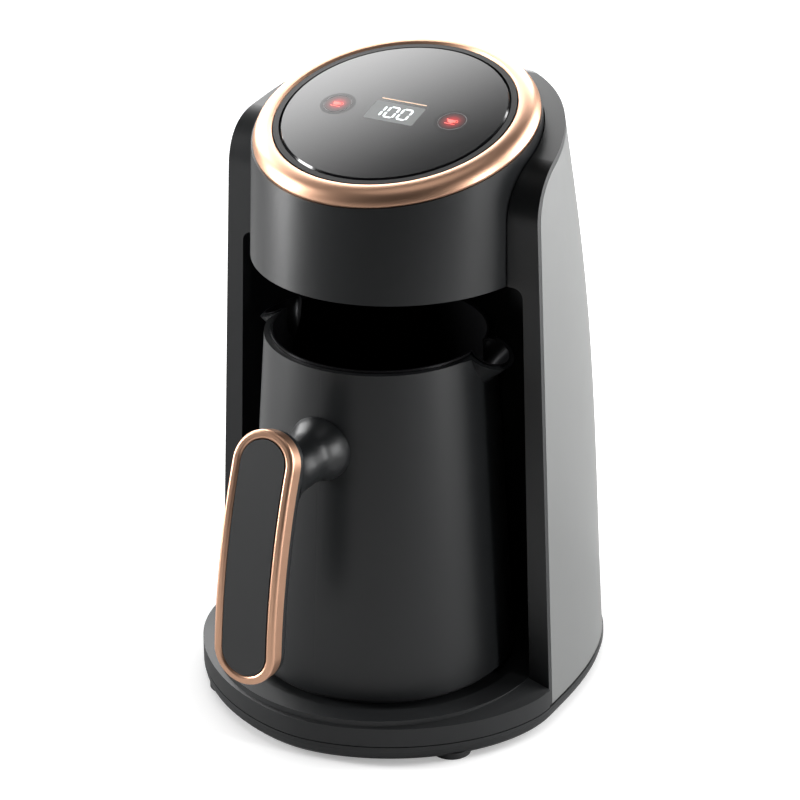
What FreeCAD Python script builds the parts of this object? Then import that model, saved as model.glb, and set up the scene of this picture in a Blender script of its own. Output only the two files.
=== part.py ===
import FreeCAD, Part
import Sketcher
import math
import os
from FreeCAD import Placement, Rotation, Vector

# Electric Turkish coffee maker: a heated pot that stands under a tilted control head.
# Millimetres. The origin is on the table under the pot's axis, +Z is up, the pot's
# handle points to -Y and the back of the housing to +Y.

doc = FreeCAD.newDocument("turkish_coffee_maker")
sheet = doc.addObject("Spreadsheet::Sheet", "Sizes")

DRIVING_SIZES = (
    ("base_half_width", 74.7, "half width of the foot at the pot's axis"),
    ("base_front_depth", 66.5, "foot in front of the pot's axis"),
    ("front_squareness", 1.8, "power of the oval in front of the axis"),
    ("rear_depth", 100.9, "foot and housing behind the pot's axis"),
    ("rear_squareness", 2.7, "power of the oval behind the axis, at the table"),
    ("crown_squareness", 2.2, "the same power at the height of the head"),
    ("foot_rise", 1.2, "underside of the bottom pan above the table"),
    ("pan_top", 8.0, "seam between bottom pan and housing"),
    ("pan_wall", 2.4, "wall of the bottom pan"),
    ("pan_edge_round", 5.0, "rounding of the pan's lower edge"),
    ("seam_gap", 0.4, "shadow line between outer mouldings"),
    ("edge_chamfer", 1.0, "small chamfers of turned and moulded inner pieces"),
    ("fit_gap", 0.3, "clearance between pieces that are assembled"),
    ("deck_edge_height", 16.0, "outer edge of the deck's bevel"),
    ("deck_height", 18.8, "flat top of the deck"),
    ("deck_wall", 2.4, "wall of the deck"),
    ("bevel_side", 10.0, "width of the bevel beside the pot"),
    ("bevel_front", 8.5, "width of the bevel in front of the pot"),
    ("well_radius", 56.5, "round recess that the pot stands in"),
    ("well_depth", 2.0, "depth of that recess"),
    ("housing_inset", 0.1, "housing in from the foot's sides at the table"),
    ("housing_lean", 0.044, "side lean, millimetres for each millimetre up"),
    ("rear_straight", 100.0, "height where the back starts to lean forward"),
    ("rear_arc_radius", 336.0, "arc of the back above that height"),
    ("housing_wall", 2.2, "wall of the main housing"),
    ("panel_thickness", 2.0, "thickness of the grey side panels"),
    ("panel_border", 2.2, "black border between wing edge and side panel"),
    ("panel_rear", 82.0, "where the side panels end and the back cover starts"),
    ("wing_front", 0.0, "front faces of the wings, from the pot's axis"),
    ("wing_depth", 40.0, "joint between the wings and the rear moulding"),
    ("shoulder_drop", 5.0, "shoulder below the slope of the control ring"),
    ("shoulder_radius", 21.0, "rounding of the wing's upper front corner"),
    ("crown_radius", 5.0, "rounding of the shoulder into the back"),
    ("bay_side", 8.6, "from the housing's side to the pot's bay at the table"),
    ("bay_lean", 0.034, "bay radius lost for each millimetre up"),
    ("bay_corner", 4.0, "rounding at the top of the bay"),
    ("outlet_clearance", 1.0, "hole in the housing round the bush's collar"),
    ("rear_window_half", 40.0, "half width of the opening behind the back cover"),
    ("rear_window_low", 34.0, "lower edge of that opening"),
    ("rear_window_high", 168.0, "upper edge of that opening"),
    ("head_height", 178.6, "lower edge of the head"),
    ("head_half_width", 55.2, "half width of the head at its lower edge"),
    ("head_half_depth", 59.6, "half depth of the head at its lower edge"),
    ("head_centre", 16.0, "centre of the head's lower edge behind the pot's axis"),
    ("head_top_radius", 54.3, "radius of the head under the ring"),
    ("head_wall", 2.2, "wall of the head"),
    ("head_floor_recess", 1.2, "head floor above the head's lower edge"),
    ("head_floor_thickness", 2.4, "thickness of the head floor"),
    ("head_gap", 0.5, "groove between head and housing"),
    ("slope", 16.2, "tilt of the control ring, in degrees"),
    ("ring_centre", 13.1, "centre of the control ring behind the pot's axis"),
    ("ring_height", 228.4, "height of the ring's lower edge at its centre"),
    ("ring_radius", 53.6, "outer radius of the control ring"),
    ("ring_inner", 45.6, "inner radius of the control ring"),
    ("ring_rise", 5.2, "crest of the ring above its lower edge"),
    ("ring_lip", 0.9, "inner edge of the ring under its crest"),
    ("ring_land", 0.8, "upright outer edge of the ring"),
    ("glass_radius", 42.9, "radius of the glass"),
    ("glass_edge", 0.8, "chamfer round the glass"),
    ("glass_rise", 5.0, "top of the glass above the ring's lower edge"),
    ("glass_thickness", 3.0, "thickness of the glass"),
    ("carrier_rest", 3.0, "width of the rest under the glass"),
    ("carrier_floor", 1.6, "floor of the black carrier round the glass"),
    ("display_length", 22.0, "display module, along X"),
    ("display_width", 13.0, "display module, along Y"),
    ("display_height", 3.0, "display module, upright"),
    ("display_back", 2.1, "display in front of the ring's centre"),
    ("pad_reach", 23.6, "touch pads beside the centre"),
    ("pad_radius", 6.0, "radius of a touch pad's spring disc"),
    ("pad_front", 2.7, "touch pads in front of the ring's centre"),
    ("board_radius", 38.0, "radius of the control board"),
    ("board_thickness", 1.6, "thickness of the circuit boards"),
    ("pot_bottom_radius", 52.0, "radius of the pot's jacket at the bottom"),
    ("pot_bottom_height", 20.0, "lower edge of the pot's jacket"),
    ("rim_radius", 43.5, "radius of the pot's rim"),
    ("rim_height", 150.6, "height of the pot's rim"),
    ("jacket_wall", 2.2, "wall of the pot's jacket"),
    ("liner_wall", 0.8, "wall of the pot's inner cup"),
    ("liner_floor", 42.0, "underside of the inner cup's floor"),
    ("liner_proud", 0.8, "inner cup above the jacket's rim"),
    ("spout_reach", 59.0, "mouths of the spouts from the pot's axis, before they droop"),
    ("spout_back", 4.0, "spouts behind the pot's axis"),
    ("spout_radius", 12.0, "plan radius of a spout's mouth"),
    ("spout_depth", 14.0, "spout below the rim"),
    ("spout_root_radius", 4.5, "plan radius of a spout's lower end"),
    ("spout_root_sink", 0.8, "lower end of a spout inside the pot's wall"),
    ("spout_drop", 8.0, "droop of the spouts over that reach"),
    ("spout_start", 2.0, "where the rim starts to fall, in from its edge"),
    ("base_lip", 2.0, "jacket's lower edge beyond the pot's base"),
    ("spigot_play", 0.4, "draft of the base's spigot inside the jacket"),
    ("base_spigot", 4.0, "height of the base inside the jacket"),
    ("base_plate", 2.6, "thickness of the pot's base"),
    ("heater_radius", 44.0, "radius of the heating plate"),
    ("heater_thickness", 6.0, "thickness of the heating plate"),
    ("sensor_radius", 4.0, "radius of the thermal sensor"),
    ("socket_radius", 17.0, "outer radius of the pot's power socket"),
    ("socket_bore", 13.4, "bore of the pot's power socket"),
    ("socket_top", 31.0, "roof of the pot's power socket"),
    ("socket_roof", 2.2, "thickness of that roof"),
    ("pin_chamfer", 0.6, "chamfer of the centre pin"),
    ("socket_flange", 3.0, "flange of the socket over the pot's base"),
    ("socket_flange_height", 2.0, "thickness of that flange"),
    ("centre_pin_radius", 2.6, "centre pin of the socket"),
    ("plug_clearance", 0.6, "round the deck's power coupler"),
    ("plug_chamfer", 1.5, "lead-in at the top of the coupler's plug"),
    ("plug_top", 25.0, "top of the deck's power coupler"),
    ("plug_flange", 18.0, "radius of the coupler's flange under the deck"),
    ("grip_half_width", 12.75, "half width of the grip"),
    ("grip_low", 48.0, "lower end of the grip"),
    ("grip_high", 142.3, "upper end of the grip"),
    ("grip_front", 100.6, "front of the grip's insert at its lower end"),
    ("grip_arc_radius", 250.0, "arc of the grip seen from the side"),
    ("grip_arc_height", 40.0, "height where that arc stands upright"),
    ("grip_depth", 10.0, "front to back depth of the grip"),
    ("frame_width", 3.5, "width of the metallic frame round the insert"),
    ("frame_depth", 5.5, "depth of the metallic frame"),
    ("frame_round", 1.3, "rounding of the frame's front edges"),
    ("frame_proud", 0.3, "frame in front of the insert"),
    ("insert_depth", 3.0, "thickness of the grip's soft insert"),
    ("core_bite", 0.5, "depth that the grip's core runs into its shell"),
    ("shell_round", 3.0, "rounding of the grip's back edges"),
    ("post_height", 119.5, "height of the handle's post"),
    ("post_radius", 9.3, "radius of the handle's post"),
    ("post_sink", 4.0, "post before it is cut to the pot and the grip"),
    ("post_flare", 3.2, "flare of the post at both ends"),
    ("screw_radius", 2.0, "shank of the handle and case screws"),
    ("screw_head_radius", 3.6, "head of those screws"),
    ("screw_sink", 1.0, "screw heads above the pan's underside"),
    ("screw_head_height", 2.2, "height of those heads"),
    ("foot_radius", 7.5, "radius of a rubber foot"),
    ("foot_depth", 1.4, "rubber foot sunk into the pan"),
    ("foot_side", 50.0, "rubber feet beside the axis"),
    ("foot_front", 34.0, "front rubber feet in front of the axis"),
    ("foot_back", 66.0, "back rubber feet behind the axis"),
    ("boss_radius", 5.2, "screw bosses in the bottom pan"),
    ("boss_side", 38.0, "screw bosses beside the axis"),
    ("boss_front", 44.0, "front screw bosses in front of the axis"),
    ("boss_back", 78.0, "back screw bosses behind the axis"),
    ("gland_height", 22.0, "height of the cord outlet"),
    ("gland_bore", 3.6, "radius of the cord outlet's hole"),
    ("gland_radius", 6.2, "radius of the cord outlet's bush"),
    ("gland_collar", 8.2, "radius of the bush's outer collar"),
    ("gland_play", 0.8, "room between the bush's collar and the back cover"),
    ("gland_collar_depth", 1.6, "thickness of that collar"),
    ("gland_depth", 9.0, "length of the bush behind the collar"),
    ("vent_count", 6.0, "vent slots in the back cover"),
    ("vent_pitch", 7.0, "distance between vent slots"),
    ("vent_width", 2.4, "height of a vent slot"),
    ("vent_half_length", 22.0, "half length of a vent slot"),
    ("vent_low", 120.0, "lowest vent slot"),
    ("power_board_half", 30.0, "half width of the power board"),
    ("power_board_low", 46.0, "lower edge of the power board"),
    ("power_board_high", 150.0, "upper edge of the power board"),
    ("board_gap", 4.0, "power board behind the bay's wall"),
    ("board_edge", 6.0, "board posts in from the power board's edges"),
    ("standoff_radius", 3.0, "posts that carry the power board"),
    ("relay_width", 16.0, "relay on the power board, along X"),
    ("relay_depth", 11.0, "relay, along Y"),
    ("relay_height", 20.0, "relay, upright"),
    ("relay_edge", 9.0, "relay in from the board's left edge"),
    ("relay_rise", 16.0, "relay above the board's lower edge"),
    ("coil_width", 24.0, "transformer on the power board, along X"),
    ("coil_depth", 12.0, "transformer, along Y"),
    ("coil_height", 26.0, "transformer, upright"),
    ("coil_edge", 8.0, "transformer in from the board's right edge"),
    ("coil_rise", 44.0, "transformer above the board's lower edge"),
    ("window_radius", 6.0, "sensor window in the head floor"),
    ("window_flange", 2.0, "flange of the sensor window beyond its hole"),
    ("window_flange_height", 1.5, "thickness of that flange"),
    ("window_depth", 2.0, "sensor window below the head floor"),
)

PLAN_STEPS = 24
SECTION_COUNT = 4
ROUND_STEPS = 3
FAR = 400.0
ABOVE_RIM = 4.0
OVERCUT = 1.0
SAME_PLACE = 0.01
RING_BULGE = (0.3, 0.72)
POST_STATIONS = ((0.0, 1.0), (0.14, 0.85), (0.3, 0.12), (0.5, 0.0), (0.7, 0.05), (0.88, 0.7), (1.0, 1.0))


class Size:
    """A number with the spreadsheet expression that gives it."""

    def __init__(self, value, text):
        self.value = float(value)
        self.text = text

    def __float__(self):
        return self.value

    def _join(self, other, sign, result):
        text = other.text if isinstance(other, Size) else str(other)
        return Size(result, "(" + self.text + sign + text + ")")

    def __add__(self, other):
        return self._join(other, " + ", self.value + float(other))

    def __sub__(self, other):
        return self._join(other, " - ", self.value - float(other))

    def __mul__(self, other):
        return self._join(other, " * ", self.value * float(other))

    def __truediv__(self, other):
        return self._join(other, " / ", self.value / float(other))

    def __neg__(self):
        return self * -1


class Sizes:
    """The spreadsheet's sizes by name."""

    def __getattr__(self, alias):
        return Size(sheet.get(alias), "Sizes." + alias)


for row, (alias, value, meaning) in enumerate(DRIVING_SIZES, start=1):
    sheet.set("A" + str(row), meaning)
    sheet.set("B" + str(row), str(value))
    sheet.setAlias("B" + str(row), alias)
doc.recompute()
s = Sizes()

nodes = []


def keep(obj, label):
    """Name a finished sub-part and list it for export."""
    obj.Label = label
    nodes.append(obj)
    return obj


def shaped(label, shape, place=Placement()):
    """A sub-part whose form needs the Part functions."""
    feature = doc.addObject("Part::Feature", label)
    feature.Shape = shape
    feature.Placement = place
    return keep(feature, label)


def bind(obj, **sizes):
    """Tie properties of an object to the spreadsheet."""
    for name, size in sizes.items():
        obj.setExpression(name, size.text)


def bind_place(obj, x=None, y=None, z=None):
    """Tie an object's place to the spreadsheet."""
    for axis, size in (("x", x), ("y", y), ("z", z)):
        if size is not None:
            obj.setExpression("Placement.Base." + axis, size.text)


def origin_plane(body, role):
    """One of a body's own origin planes."""
    for feature in body.Origin.OriginFeatures:
        if feature.Role == role:
            return feature
    raise ValueError(role)


def outline_sketch(body, role, corners):
    """Closed outline of straight edges whose corners follow the spreadsheet."""
    sketch = body.newObject("Sketcher::SketchObject", body.Name + "_outline")
    sketch.AttachmentSupport = [(origin_plane(body, role), "")]
    sketch.MapMode = "FlatFace"
    count = len(corners)
    points = [Vector(float(x), float(y), 0) for x, y in corners]
    for index in range(count):
        sketch.addGeometry(Part.LineSegment(points[index], points[(index + 1) % count]), False)
    for index in range(count):
        following = (index + 1) % count
        sketch.addConstraint(Sketcher.Constraint("Coincident", index, 2, following, 1))
        for kind, size in zip(("DistanceX", "DistanceY"), corners[index]):
            place = sketch.addConstraint(
                Sketcher.Constraint(kind, -1, 1, index, 1, float(size)))
            if isinstance(size, Size):
                sketch.setExpression("Constraints[" + str(place) + "]", size.text)
    return sketch


def turned_body(label, corners):
    """A body turned about the pot's axis from half of its section."""
    body = doc.addObject("PartDesign::Body", label)
    sketch = outline_sketch(body, "XZ_Plane", corners)
    turn = body.newObject("PartDesign::Revolution", label + "_turn")
    turn.Profile = sketch
    turn.ReferenceAxis = (sketch, ["V_Axis"])
    turn.Angle = 360.0
    sketch.Visibility = False
    return body


def cylinder(name, radius, height, x=None, y=None, z=None):
    """A cylinder along Z tied to the spreadsheet."""
    obj = doc.addObject("Part::Cylinder", name)
    bind(obj, Radius=radius, Height=height)
    bind_place(obj, x, y, z)
    return obj


def block(name, length, width, height, x, y, z):
    """A box tied to the spreadsheet by its sizes and lowest corner."""
    obj = doc.addObject("Part::Box", name)
    bind(obj, Length=length, Width=width, Height=height)
    bind_place(obj, x, y, z)
    return obj


def joined(name, pieces):
    """Several objects fused into one."""
    obj = doc.addObject("Part::MultiFuse", name)
    obj.Shapes = pieces
    return obj


def slab(low, high, y_low=-FAR, y_high=FAR, x_low=-FAR, x_high=FAR):
    """A plain block between two heights, used to trim other shapes."""
    corner = Vector(x_low, y_low, float(low))
    return Part.makeBox(x_high - x_low, y_high - y_low, float(high) - float(low), corner)


def rear_at(height):
    """How far the back lies behind the pot's axis at a height."""
    above = float(height) - float(s.rear_straight)
    radius = float(s.rear_arc_radius)
    if above <= 0:
        return float(s.rear_depth)
    return float(s.rear_depth) - radius + math.sqrt(radius ** 2 - above ** 2)


def slope_height(y):
    """Height of the ring's sloping lower plane at a place along Y."""
    rise = math.tan(math.radians(float(s.slope)))
    return float(s.ring_height) + (y - float(s.ring_centre)) * rise


def plan_wire(half_width, front_depth, rear_depth, squareness, height):
    """Plan outline: a rounder half oval in front, a squarer one behind."""
    points = []
    for step in range(PLAN_STEPS):
        angle = 2 * math.pi * step / PLAN_STEPS
        across, along = math.cos(angle), math.sin(angle)
        depth, power = (rear_depth, squareness) if along > 0 else (front_depth, float(s.front_squareness))
        reach = (abs(across / half_width) ** power + abs(along / depth) ** power) ** (-1 / power)
        points.append(Vector(across * reach, along * reach, height))
    curve = Part.BSplineCurve()
    curve.interpolate(Points=points, PeriodicFlag=True, Parameters=range(PLAN_STEPS + 1))
    return Part.Wire([curve.toShape()])


def squareness_at(height):
    """The plan gets rounder from the table up to the head."""
    share = min(float(height) / float(s.head_height), 1.0)
    low, high = float(s.rear_squareness), float(s.crown_squareness)
    return low + (high - low) * share


housing_half_width = s.base_half_width - s.housing_inset
bay_radius = housing_half_width - s.bay_side


def housing_block(inset):
    """The housing's outer form as one solid, or the same form set inwards."""
    low = float(s.pan_top + s.seam_gap)
    high = slope_height(rear_at(s.ring_height)) + float(s.ring_rise)
    wires = []
    for index in range(SECTION_COUNT + 1):
        height = low + (high - low) * index / SECTION_COUNT
        half_width = float(housing_half_width) - float(s.housing_lean) * height - inset
        wires.append(plan_wire(half_width, half_width / 2, rear_at(height) - inset,
                               squareness_at(height), height))
    return Part.makeLoft(wires, True, False)


def profile_block(inset):
    """Side view of the housing: upright wing edge, sloping shoulder, rounded crown."""
    front = float(s.wing_front) + inset
    low = float(s.pan_top)
    drop = float(s.shoulder_drop) + inset / math.cos(math.radians(float(s.slope)))
    crown = rear_at(slope_height(rear_at(s.ring_height))) - inset
    crown_height = slope_height(crown) - drop
    lean = (crown_height - float(s.rear_straight)) / float(s.rear_arc_radius)
    rear_low = crown + lean * (crown_height - low) / math.sqrt(1 - lean ** 2)
    corners = [Vector(-FAR / 2, front, low), Vector(-FAR / 2, front, slope_height(front) - drop),
               Vector(-FAR / 2, crown, crown_height), Vector(-FAR / 2, rear_low, low)]
    face = Part.Face(Part.makePolygon(corners + corners[:1]))
    prism = face.extrude(Vector(FAR, 0, 0))
    rounded = ((corners[1], float(s.shoulder_radius) - inset),
               (corners[2], float(s.crown_radius) - inset / 2))
    for corner, radius in rounded:
        edges = [edge for edge in prism.Edges
                 if abs(edge.CenterOfMass.y - corner.y) < SAME_PLACE
                 and abs(edge.CenterOfMass.z - corner.z) < SAME_PLACE]
        prism = prism.makeFillet(radius, edges)
    return prism


def bay_block(grow):
    """The round bay that the pot stands in, up to the head."""
    low = float(s.pan_top) - OVERCUT
    high = float(s.head_height) + grow
    lean = float(s.bay_lean)
    wide = float(bay_radius) + grow
    cone = Part.makeCone(wide - lean * low, wide - lean * high, high - low, Vector(0, 0, low))
    top = [edge for edge in cone.Edges if abs(edge.CenterOfMass.z - high) < SAME_PLACE]
    return cone.makeFillet(float(s.bay_corner), top)


ON_SLOPE = Placement(Vector(0, float(s.ring_centre), float(s.ring_height)),
                     Rotation(Vector(1, 0, 0), float(s.slope)))


def head_rim(grow):
    """The head's round upper edge on the sloping plane, starting at the back."""
    circle = Part.makeCircle(float(s.head_top_radius) + grow)
    circle.rotate(Vector(0, 0, 0), Vector(0, 0, 1), 90)
    circle.Placement = ON_SLOPE.multiply(circle.Placement)
    return Part.Wire([circle])


def head_block(grow, low):
    """The head: an oval at its lower edge, a circle on the sloping plane."""
    centre = Vector(0, float(s.head_centre), low)
    deep = float(s.head_half_depth) + grow
    wide = float(s.head_half_width) + grow
    lower = Part.Ellipse(centre + Vector(0, deep, 0), centre + Vector(-wide, 0, 0), centre)
    return Part.makeLoft([Part.Wire([lower.toShape()]), head_rim(grow)], True, True)


def turned_shape(edges):
    """A closed half section in the XZ plane, turned about Z."""
    face = Part.Face(Part.Wire(edges))
    return face.revolve(Vector(0, 0, 0), Vector(0, 0, 1), 360)


def polyline(points):
    """Straight edges through points given as (radius, height)."""
    corners = [Vector(float(r), 0, float(z)) for r, z in points]
    return [Part.LineSegment(a, b).toShape() for a, b in zip(corners, corners[1:])]


# Bottom pan, feet and case screws

BOSS_PLACES = ((-1, -s.boss_front), (1, -s.boss_front), (-1, s.boss_back), (1, s.boss_back))
FOOT_PLACES = ((-1, -s.foot_front), (1, -s.foot_front), (-1, s.foot_back), (1, s.foot_back))


def foot_plan(inset, height):
    """Plan outline of the foot, set inwards by a wall."""
    return plan_wire(float(s.base_half_width) - inset, float(s.base_front_depth) - inset,
                     float(s.rear_depth) - inset, float(s.rear_squareness), height)


def prism_of(wire, height):
    """A plan outline raised to a solid."""
    return Part.Face(wire).extrude(Vector(0, 0, height))


def rounded_foot(low, high, inset):
    """The foot's outline raised to a solid whose lower edge is rounded."""
    edge_round = float(s.pan_edge_round) - inset
    wires = []
    for step in range(ROUND_STEPS + 1):
        angle = math.pi / 2 * step / ROUND_STEPS
        wires.append(foot_plan(inset + edge_round * (1 - math.sin(angle)),
                               low + edge_round * (1 - math.cos(angle))))
    wires.append(foot_plan(inset, high))
    return Part.makeLoft(wires, True, True)


def make_base_pan():
    low, high = float(s.foot_rise), float(s.pan_top)
    wall = float(s.pan_wall)
    outside = rounded_foot(low, high, 0)
    pan = outside.cut(rounded_foot(low + wall, high + OVERCUT, wall))
    for side, y in BOSS_PLACES:
        place = Vector(side * float(s.boss_side), float(y), low)
        pan = pan.fuse(Part.makeCylinder(s.boss_radius, high - low, place))
    for side, y in BOSS_PLACES:
        place = Vector(side * float(s.boss_side), float(y), 0)
        hole = float(s.screw_head_radius + s.fit_gap)
        pan = pan.cut(Part.makeCylinder(hole, low + float(s.screw_head_height + s.screw_sink), place))
        pan = pan.cut(Part.makeCylinder(float(s.screw_radius + s.fit_gap), FAR, place))
    for side, y in FOOT_PLACES:
        place = Vector(side * float(s.foot_side), float(y), 0)
        pan = pan.cut(Part.makeCylinder(s.foot_radius + s.fit_gap, s.foot_rise + s.foot_depth, place))
    return pan.removeSplitter()


shaped("base_pan", make_base_pan())

for number, (side, y) in enumerate(FOOT_PLACES, start=1):
    foot = cylinder("rubber_foot_" + str(number), s.foot_radius, s.foot_rise + s.foot_depth,
                    s.foot_side * side, y)
    keep(foot, "rubber_foot_" + str(number))


def screw(name, x, y, z, length):
    """A pan-head screw that points up."""
    head = cylinder(name + "_head", s.screw_head_radius, s.screw_head_height, x, y, z)
    shank = cylinder(name + "_shank", s.screw_radius, length, x, y, z)
    return joined(name, [head, shank])


case_screws = doc.addObject("Part::Compound", "case_screws")
case_screws.Links = [
    screw("case_screw_" + str(number), s.boss_side * side, y, s.foot_rise + s.screw_sink,
          s.pan_top - s.foot_rise)
    for number, (side, y) in enumerate(BOSS_PLACES, start=1)]
keep(case_screws, "case_screws")


# Deck with its bevel, well and power coupler

def deck_form(inset):
    """Front of the deck with its bevel and the round floor of the bay."""
    low = float(s.pan_top + s.seam_gap)
    edge, top = float(s.deck_edge_height) - inset, float(s.deck_height) - inset
    apron = prism_of(foot_plan(inset, low), edge - low)
    ledge = plan_wire(float(s.base_half_width - s.bevel_side) - inset,
                      float(s.base_front_depth - s.bevel_front) - inset,
                      float(s.rear_depth) - inset, float(s.rear_squareness), top)
    bevel = Part.makeLoft([foot_plan(inset, edge), ledge], True, True)
    front = apron.fuse(bevel).common(slab(0, FAR, y_high=float(s.wing_front - s.fit_gap) - inset))
    floor_radius = float(bay_radius - s.fit_gap) - float(s.bay_lean) * top - inset
    floor = Part.makeCylinder(floor_radius, top - low, Vector(0, 0, low))
    return front.fuse(floor).removeSplitter()


def make_deck():
    low = float(s.pan_top + s.seam_gap)
    well_floor = float(s.deck_height - s.well_depth)
    wall = float(s.deck_wall)
    hollow = deck_form(wall).common(slab(0, well_floor - wall))
    deck = deck_form(0).cut(hollow)
    deck = deck.cut(Part.makeCylinder(s.well_radius, FAR, Vector(0, 0, well_floor)))
    opening = float(s.socket_bore - s.plug_clearance + s.fit_gap)
    deck = deck.cut(Part.makeCylinder(opening, FAR, Vector(0, 0, low)))
    return deck.removeSplitter()


shaped("deck", make_deck())

well_floor = s.deck_height - s.well_depth
plug_radius = s.socket_bore - s.plug_clearance
pin_hole = s.centre_pin_radius + s.plug_clearance
deck_coupler = turned_body("deck_coupler", (
    (pin_hole, well_floor - s.deck_wall - s.deck_wall),
    (s.plug_flange, well_floor - s.deck_wall - s.deck_wall),
    (s.plug_flange, well_floor - s.deck_wall),
    (plug_radius, well_floor - s.deck_wall),
    (plug_radius, s.plug_top - s.plug_chamfer),
    (plug_radius - s.plug_chamfer, s.plug_top),
    (pin_hole, s.plug_top)))
keep(deck_coupler, "deck_coupler")


# Main housing with its two wings, side panels and back cover

skin = float(s.panel_thickness)
recess = float(s.panel_thickness + s.fit_gap)
housing_outer = housing_block(0)
housing_core = housing_block(recess)
profile = profile_block(0)
panel_low = float(s.pan_top + s.seam_gap)


board_front = bay_radius + s.housing_wall + s.board_gap
BOARD_POSTS = [((s.power_board_half - s.board_edge) * side, height) for side in (-1, 1)
               for height in (s.power_board_low + s.board_edge, s.power_board_high - s.board_edge)]


lip_back = float(s.wing_front + s.housing_wall)


def head_opening(body):
    """Cut the head's place, with its groove, out of a housing moulding."""
    gap = float(s.head_gap)
    body = body.cut(head_block(gap, float(s.head_height) - gap))
    return body.cut(Part.Face(head_rim(gap)).extrude(Vector(0, 0, FAR / 10)))


def housing_shell(part):
    """One part of the outer mouldings: a wing with its front lip, or the crown and the back."""
    wall = float(s.housing_wall)
    border = profile_block(float(s.panel_border))
    strip = housing_outer.common(profile).cut(border)
    body = housing_core.common(profile).common(part).fuse(strip.common(part))
    body = body.cut(housing_block(recess + wall).common(profile_block(wall)))
    lining = bay_block(wall + float(s.fit_gap)).common(slab(0, FAR, y_low=lip_back))
    body = head_opening(body.cut(bay_block(0)).cut(lining))
    window = float(s.rear_window_half)
    body = body.cut(slab(s.rear_window_low, s.rear_window_high, y_low=float(board_front),
                         x_low=-window, x_high=window))
    outlet = Part.makeCylinder(float(s.gland_collar + s.outlet_clearance), FAR,
                               Vector(0, float(board_front), float(s.gland_height)),
                               Vector(0, 1, 0))
    return body.cut(outlet).removeSplitter()


joint = float(s.wing_depth)
shaped("main_housing", housing_shell(slab(0, FAR, y_low=joint)))
shaped("wing_left", housing_shell(slab(0, FAR, y_high=joint, x_high=0)))
shaped("wing_right", housing_shell(slab(0, FAR, y_high=joint, x_low=0)))


def make_bay_lining():
    """Moulding behind the pot: seats on the wings' lips and carries the board's posts."""
    inside = float(bay_radius) / 2
    body = bay_block(float(s.housing_wall)).common(slab(panel_low, FAR, y_low=lip_back))
    for x, z in BOARD_POSTS:
        place = Vector(float(x), inside, float(z))
        body = body.fuse(Part.makeCylinder(s.standoff_radius, float(board_front) - inside, place,
                                           Vector(0, 1, 0)))
    return head_opening(body.cut(bay_block(0))).removeSplitter()


shaped("bay_lining", make_bay_lining())

cover_skin = housing_outer.cut(housing_block(skin))
panel_field = profile_block(float(s.panel_border + s.fit_gap))

for name, x_low, x_high in (("side_panel_left", -FAR, 0), ("side_panel_right", 0, FAR)):
    half = slab(panel_low, FAR, y_high=float(s.panel_rear), x_low=x_low, x_high=x_high)
    shaped(name, cover_skin.common(panel_field).common(half))


def make_back_cover():
    start = float(s.panel_rear + s.fit_gap)
    cover = cover_skin.common(panel_field).common(slab(panel_low, FAR, y_low=start))
    for index in range(int(float(s.vent_count))):
        height = float(s.vent_low) + index * float(s.vent_pitch)
        half = float(s.vent_half_length)
        cover = cover.cut(slab(height, height + float(s.vent_width), y_low=start,
                               x_low=-half, x_high=half))
    hole = Part.makeCylinder(float(s.gland_radius + s.fit_gap), FAR,
                             Vector(0, start, float(s.gland_height)), Vector(0, 1, 0))
    return cover.cut(hole).removeSplitter()


shaped("back_cover", make_back_cover())


def make_cord_bush():
    start = float(s.rear_depth)
    height = float(s.gland_height)
    along = Vector(0, 1, 0)
    neck = Part.makeCylinder(s.gland_radius, float(s.gland_depth),
                             Vector(0, start - float(s.gland_depth), height), along)
    inner = float(s.panel_thickness + s.fit_gap) + float(s.gland_collar_depth)
    collar = Part.makeCylinder(s.gland_collar, float(s.gland_collar_depth),
                               Vector(0, start - inner - float(s.gland_play), height), along)
    bore = Part.makeCylinder(s.gland_bore, FAR, Vector(0, 0, height), along)
    return neck.fuse(collar).cut(bore)


shaped("cord_bush", make_cord_bush())


# Head, its floor, the sensor window and the sloping control panel

def make_head_shell():
    low = float(s.head_height)
    wall = float(s.head_wall)
    return head_block(0, low).cut(head_block(-wall, low))


shaped("head_shell", make_head_shell())


def make_head_floor():
    low = float(s.head_height + s.head_floor_recess)
    inside = head_block(-float(s.head_wall) - float(s.fit_gap), float(s.head_height))
    floor = inside.common(slab(low, low + float(s.head_floor_thickness)))
    hole = Part.makeCylinder(s.window_radius + s.fit_gap, FAR, Vector(0, 0, 0))
    return floor.cut(hole)


shaped("head_floor", make_head_floor())

floor_low = s.head_height + s.head_floor_recess
window_top = floor_low + s.head_floor_thickness + s.window_flange_height
sensor_window = turned_body("sensor_window", (
    (Size(0, "0"), floor_low - s.window_depth),
    (s.window_radius - s.edge_chamfer, floor_low - s.window_depth),
    (s.window_radius, floor_low - s.window_depth + s.edge_chamfer),
    (s.window_radius, floor_low + s.head_floor_thickness),
    (s.window_radius + s.window_flange, floor_low + s.head_floor_thickness),
    (s.window_radius + s.window_flange, window_top),
    (Size(0, "0"), window_top)))
keep(sensor_window, "sensor_window")


def make_control_ring():
    outer, inner = float(s.ring_radius), float(s.ring_inner)
    crest = inner + float(s.ring_lip)
    land, rise = float(s.ring_land), float(s.ring_rise)
    start, end = Vector(outer, 0, land), Vector(crest, 0, rise)
    bulge = Vector(outer - (outer - crest) * RING_BULGE[0], 0, land + (rise - land) * RING_BULGE[1])
    edges = [Part.Arc(start, bulge, end).toShape()]
    edges += polyline(((crest, rise), (inner, rise - float(s.ring_lip)), (inner, 0),
                       (outer, 0), (outer, land)))
    return turned_shape(edges)


shaped("control_ring", make_control_ring(), ON_SLOPE)

glass_floor = s.glass_rise - s.glass_thickness


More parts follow.
